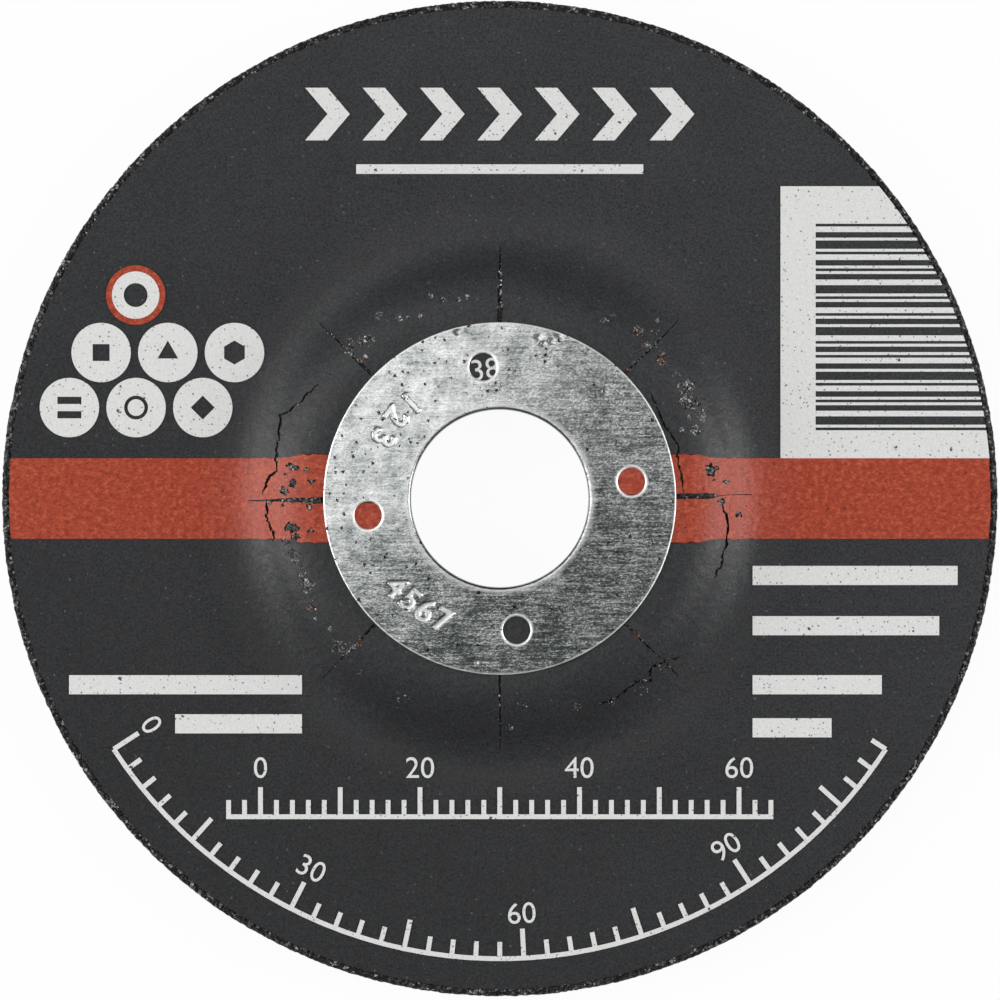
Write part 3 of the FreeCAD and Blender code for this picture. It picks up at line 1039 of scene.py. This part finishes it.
def paintWear(obj):
    # the rim, the lip of the bore, the lips of the holes and the figures are rubbed bright and carry a
    # painted highlight; the very edge of the bore carries painted shade
    centres = list(holeCentres())
    figures = obj.vertex_groups["stamps"].index
    lipOut = ring["holeRadius"] + ring["holeRound"]
    wearAndHighlight = obj.data.attributes.new("wearAndHighlight", "FLOAT", "POINT")
    edge = obj.data.attributes.new("edge", "FLOAT", "POINT")
    for vert in obj.data.vertices:
        r = flatRadius(vert.co)
        flat = Vector((vert.co.x, vert.co.y, 0))
        toHole = min((flat - centre).length for centre in centres) - lipOut
        struck = sum(share.weight for share in vert.groups if share.group == figures)
        fromBore = r - ring["boreRadius"]
        lip = min(1.0, ring["lipGain"] * max(0.0, 1 - fromBore / ring["lipBrightReach"]))
        # rubbed wear and painted highlight on the rim, the lip of the bore, the figures and the hole lips
        rubbedAndLit = max(ring["rimShine"] if r > ringRadius - ring["rimBrightReach"] else 0.0,
                     ring["lipShine"] * lip if fromBore > ring["lipShadeWidth"] else 0.0,
                     struck ** 2 * ring["stampBrightness"],
                     1.0 if toHole < 0 else max(0.0, 1 - toHole / ring["holeBrightReach"]))
        # painted shade at the very edge of the bore
        dark = ring["boreShadeFall"] * (1 - fromBore / ring["lipShadeWidth"])
        wearAndHighlight.data[vert.index].value = rubbedAndLit if vert.co.z > ringTop - ring["faceDepth"] else 0.0
        edge.data[vert.index].value = max(0.0, min(ring["boreShadeDark"], dark))


def makeHubRing():
    obj = turnOutline("hubRing", ringOutline(), ring["steps"])
    cutter = makeHoleCutter()
    for centre in holeCentres():
        cutter.location = centre
        combine(obj, cutter, "DIFFERENCE")
    bpy.data.objects.remove(cutter)
    group(obj, "face", lambda co: 1.0 if co.z > ringTop - ring["faceDepth"] else 0.0)
    waves = bpy.data.textures.new("dishing", "CLOUDS")
    waves.noise_scale = ring["waveSize"]
    push = obj.modifiers.new("waves", "DISPLACE")
    push.texture = waves
    push.texture_coords = "LOCAL"
    push.vertex_group = "face"
    push.direction = "Z"
    push.mid_level = 1.0
    push.strength = ring["waveDepth"]
    applyAll(obj)
    punch, balls = makeStamps(), makeDents()
    press(obj, punch, ring["stampDepth"], ring["stampReach"], ring["stampStroke"])
    press(obj, balls, ring["dentDepth"], ring["dentReach"])
    bpy.data.objects.remove(punch)
    bpy.data.objects.remove(balls)
    paintWear(obj)
    obj.vertex_groups.clear()
    smooth(obj, 40)
    print("  faces", len(obj.data.polygons), "box", [round(v / mm, 2) for v in obj.dimensions])
    return obj


finishPiece(makeHubRing(), "tinned_steel", tinnedSteel, "hub_ring")


print("pale print")
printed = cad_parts["pale_print"]
printed.data.materials.clear()
printed.data.materials.append(paleInk)

figure = {
    "height": 2.6 * mm,
    "scaleRow": -33.9 * mm,       # over the long ticks of the straight scale
    "scaleMarks": (0, 20, 40, 60),
    "scaleMiddle": 30,            # the mark that stands on the Y axis, one mark to the mm
    "arcRadius": 52.2 * mm,       # inside the long ticks of the arc, at every second one
    "arcStart": -147,
    "arcStep": 30,
    "arcCount": 4,
    "holeFigure": (485, 371, 8),  # seen through a hole of the ring: place in the photograph and turn
}


def inkFigure(body, place, turn, low):
    letGo()
    bpy.ops.object.text_add()
    obj = bpy.context.object
    obj.data.body = body
    obj.data.align_x = "CENTER"
    obj.data.align_y = "CENTER"
    obj.data.size = figure["height"] / capShare
    obj.data.resolution_u = 4
    obj.data.extrude = inkSheet / 2
    bpy.ops.object.convert(target="MESH")
    obj.location = (place.x, place.y, low + inkSheet / 2)
    obj.rotation_euler = (0, 0, math.radians(turn))
    return settle(obj)


def makeFigures():
    flat = flatTop + labelSheet
    made = []
    for number in figure["scaleMarks"]:
        place = Vector(((number - figure["scaleMiddle"]) * mm, figure["scaleRow"], 0))
        made.append(inkFigure(str(number), place, 0, flat))
    for number in range(figure["arcCount"]):
        angle = figure["arcStart"] + number * figure["arcStep"]
        turn = math.radians(angle)
        place = Vector((math.cos(turn), math.sin(turn), 0)) * figure["arcRadius"]
        made.append(inkFigure(str(figure["arcStep"] * number), place, angle + 90, flat))
    x, y, turn = figure["holeFigure"]
    made.append(inkFigure("38", fromPhoto(x, y), turn, labelTop))
    hold(made[0])
    for obj in made:
        obj.select_set(True)
    bpy.ops.object.join()
    obj = bpy.context.object
    obj.name = "inkFigures"
    bpy.ops.object.mode_set(mode="EDIT")
    bpy.ops.mesh.select_all(action="SELECT")
    bpy.ops.mesh.remove_doubles(threshold=0.001 * mm)
    bpy.ops.mesh.normals_make_consistent(inside=False)
    bpy.ops.object.mode_set(mode="OBJECT")
    bpy.ops.object.shade_flat()
    print("  faces", len(obj.data.polygons))
    return obj


finishPiece(makeFigures(), "pale_ink", paleInk)


print("floor, lights and camera")
studio = {
    "floorSize": 12.0,
    "floorGlow": 0.95,         # how much of the floor's white is its own, to the camera
    "cameraHeight": 906.2 * mm,
    "cameraShiftX": 0.03 * mm,
    "cameraShiftY": -0.19 * mm,
    "focalLength": 258.4,
    "sensor": 36.0,
    "ambient": 0.17,
}
# softboxes: name, azimuth, elevation, distance, width, height, watts
softboxes = (
    ("overhead", 142, 63, 1.30, 1.20, 1.20, 5.3),
    ("leftSide", 180, 31, 0.60, 0.30, 0.42, 2.0),
    ("leftLow", 180, 13, 0.60, 0.30, 0.20, 1.1),
    ("rightSide", 0, 31, 0.60, 0.30, 0.42, 2.0),
    ("rightLow", 0, 13, 0.60, 0.30, 0.20, 1.1),
)


def makeFloor():
    letGo()
    bpy.ops.mesh.primitive_plane_add(size=studio["floorSize"])
    floor = bpy.context.object
    floor.name = "floor"
    s = Shade("pale_floor")
    s.feed(s.shader.inputs["Base Color"], (0.82, 0.82, 0.82, 1))
    s.shader.inputs["Roughness"].default_value = 0.8
    glow = s.add("Emission")
    glow.inputs["Strength"].default_value = 1.0
    path = s.add("LightPath")
    seen = s.sum("MAXIMUM", path.outputs["Is Camera Ray"], path.outputs["Is Glossy Ray"])
    seen = s.sum("MAXIMUM", seen, path.outputs["Is Transmission Ray"])
    mixer = s.add("MixShader")
    s.feed(mixer.inputs["Fac"], s.sum("MULTIPLY", seen, studio["floorGlow"]))
    s.feed(mixer.inputs[1], s.shader.outputs["BSDF"])
    s.feed(mixer.inputs[2], glow.outputs["Emission"])
    s.feed(s.tree.nodes["Material Output"].inputs["Surface"], mixer.outputs["Shader"])
    floor.data.materials.append(s.material)


def makeWorld():
    world = bpy.data.worlds.new("studio")
    world.use_nodes = True
    bpy.context.scene.world = world
    back = world.node_tree.nodes["Background"]
    back.inputs["Color"].default_value = (1, 1, 1, 1)
    back.inputs["Strength"].default_value = studio["ambient"]


def makeSoftbox(name, azimuth, elevation, distance, width, height, watts):
    a, e = math.radians(azimuth), math.radians(elevation)
    away = Vector((math.cos(a) * math.cos(e), math.sin(a) * math.cos(e), math.sin(e)))
    letGo()
    bpy.ops.object.light_add(type="AREA", location=away * distance)
    lamp = bpy.context.object
    lamp.name = name
    lamp.data.shape = "RECTANGLE"
    lamp.data.size = width
    lamp.data.size_y = height
    lamp.data.energy = watts
    lamp.rotation_euler = away.to_track_quat("Z", "Y").to_euler()


def makeCamera():
    data = bpy.data.cameras.new("camera")
    data.sensor_width = studio["sensor"]
    data.lens = studio["focalLength"]
    data.clip_start = 0.01
    data.clip_end = 20
    camera = bpy.data.objects.new("camera", data)
    bpy.context.scene.collection.objects.link(camera)
    camera.location = (studio["cameraShiftX"], studio["cameraShiftY"], studio["cameraHeight"])
    bpy.context.scene.camera = camera


makeFloor()
makeWorld()
for softbox in softboxes:
    makeSoftbox(*softbox)
makeCamera()
bpy.context.scene.view_settings.view_transform = "Standard"

letGo()
